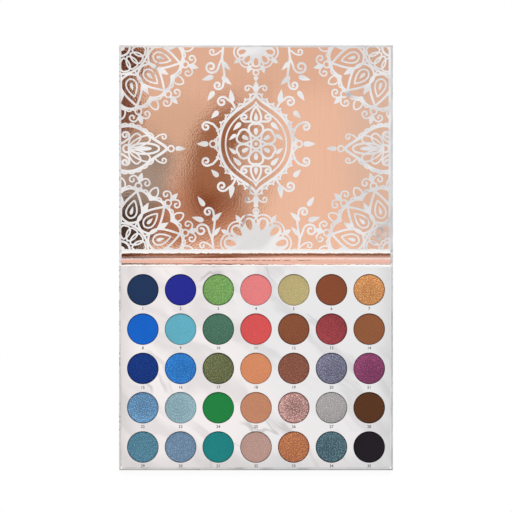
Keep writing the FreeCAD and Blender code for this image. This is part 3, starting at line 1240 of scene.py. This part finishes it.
def makeCard(name, xs, ys, z, surface):
    # a flat card for the studio, in metres, with the surface that a function gives it
    material = bpy.data.materials.new(name)
    material.use_nodes = True
    tree = material.node_tree
    tree.nodes.clear()
    addNode(tree, "OutputMaterial", {"Surface": surface(tree)})
    corners = [(xs[0], ys[0], z), (xs[1], ys[0], z), (xs[1], ys[1], z), (xs[0], ys[1], z)]
    card = makePiece(name, [Vector(c) / mm for c in corners], [(0, 1, 2, 3)], material)
    return card


def floorSurface(tree):
    shade = studio["floorShade"]
    plain = addNode(tree, "BsdfDiffuse", {"Color": studio["floorWhite"]})[0]
    shadow = addNode(tree, "BsdfDiffuse", {"Color": (shade, shade, shade, 1)})[0]
    glow = addNode(tree, "Emission", {"Color": white, "Strength": 1 - shade * studio["floorLit"]})[0]
    pale = addNode(tree, "AddShader", {0: shadow, 1: glow})[0]
    return addNode(tree, "MixShader", {0: seenDirectly(tree), 1: plain, 2: pale})[0]


def makeFloor():
    half = studio["floorSize"] / 2
    makeCard("floor", (-half, half), (-half, half), -studio["floorDrop"], floorSurface)


# What the foil mirrors: a sheet of tinted shades over the palette, and flags as high as the camera.
# Other rays pass them by. A shade's middle and radii are as it shows on the lid, in mm.
mirrored = {
    "shadeHeight": 0.5,
    "shadeHalf": 0.28,
    "ragged": 0.06,
    "raggedNoise": (24.0, 5.0, 0.65),
    "fade": (0.7, 1.1),  # shares of the radii
    "shades": [
        {"middle": (-33, 82), "radii": (27, 58), "lean": -14, "colour": (0.41, 0.26, 0.18)},
        {"middle": (-52, 34), "radii": (48, 23), "lean": 8, "colour": (0.62, 0.44, 0.35)},
        {"middle": (-4, 78), "radii": (20, 66), "lean": -4, "colour": (0.77, 0.74, 0.71)},
        {"middle": (-68, 99), "radii": (33, 40), "colour": (0.82, 0.8, 0.77)},
        {"middle": (-92, 64), "radii": (26, 34), "colour": (0.45, 0.55, 0.62)},
        {"middle": (-113, 20), "radii": (30, 36), "lean": -8, "colour": (0.06, 0.055, 0.055)},
        {"middle": (-115, 132), "radii": (24, 46), "lean": 4, "colour": (0.2, 0.11, 0.08)},
        {"middle": (-102, 168), "radii": (20, 14), "colour": (0.2, 0.1, 0.07)},
        {"middle": (10, 178), "radii": (170, 52), "colour": (0.88, 0.87, 0.87)},
        {"middle": (120, 88), "radii": (52, 140), "colour": (0.86, 0.94, 1.0)},
        {"middle": (-75, 21), "radii": (19, 13), "colour": (0.72, 0.58, 0.5)},
    ],
    "flagHeight": 3.0,
    "flagHalf": 2.5,
    "flags": [
        {"name": "darkFlag", "y": (0.9, 2.4), "colour": (0.34, 0.23, 0.16), "strength": 1.0},
        {"name": "duskFlag", "y": (0.55, 0.9), "colour": (0.66, 0.56, 0.48), "strength": 1.0},
        {"name": "glintFlag", "y": (-0.45, -0.03), "colour": (0.72, 0.88, 1.0), "strength": 1.8},
    ],
}


def onlyMirrored(card):
    for ray in ("camera", "diffuse", "transmission", "volume_scatter", "shadow"):
        setattr(card, "visible_" + ray, False)


def shadeSurface(tree):
    height = mirrored["shadeHeight"]
    aimX, aimY = studio["aim"]
    grown = 1 + height / studio["cameraHeight"]
    place = wander(tree, objectPlace(tree), mirrored["ragged"], *mirrored["raggedNoise"])
    colour = white
    for shade in mirrored["shades"]:
        (x, y), (a, b) = shade["middle"], shade["radii"]
        spot = Vector((aimX + (x * mm - aimX) * grown, aimY + (y * mm - aimY) * grown, height))
        moved = vectorCalc(tree, "SUBTRACT", place, spot)
        upright = turned(tree, moved, math.radians(-shade.get("lean", 0)))
        shares = vectorCalc(tree, "MULTIPLY", upright, (1 / (a * mm * grown), 1 / (b * mm * grown), 0))
        off = vectorCalc(tree, "LENGTH", shares, output="Value")
        inside = fadeOut(tree, off, *mirrored["fade"])
        colour = mixColour(tree, inside, colour, shade["colour"] + (1,), "MULTIPLY")
    return addNode(tree, "BsdfTransparent", {"Color": colour})[0]


def makeShades():
    half = mirrored["shadeHalf"]
    height = mirrored["shadeHeight"]
    onlyMirrored(makeCard("foilShades", (-half, half), (half, -half), height, shadeSurface))


def makeFlag(flag):
    def glow(tree):
        sockets = {"Color": flag["colour"] + (1,), "Strength": flag["strength"]}
        return addNode(tree, "Emission", sockets)[0]

    half, (near, far) = mirrored["flagHalf"], flag["y"]
    onlyMirrored(makeCard(flag["name"], (-half, half), (far, near), mirrored["flagHeight"], glow))


def makeCamera():
    lens = bpy.data.cameras.new("camera")
    lens.sensor_width = studio["sensor"]
    lens.lens = lens.sensor_width * studio["cameraHeight"] / studio["frameWidth"]
    camera = addObject("camera", lens)
    camera.location = (*studio["aim"], studio["cameraHeight"])
    bpy.context.scene.camera = camera


makeWorld()
makeKey()
makeFloor()
makeShades()
for flag in mirrored["flags"]:
    makeFlag(flag)
makeCamera()
bpy.context.scene.view_settings.view_transform = "Standard"
print("studio set")
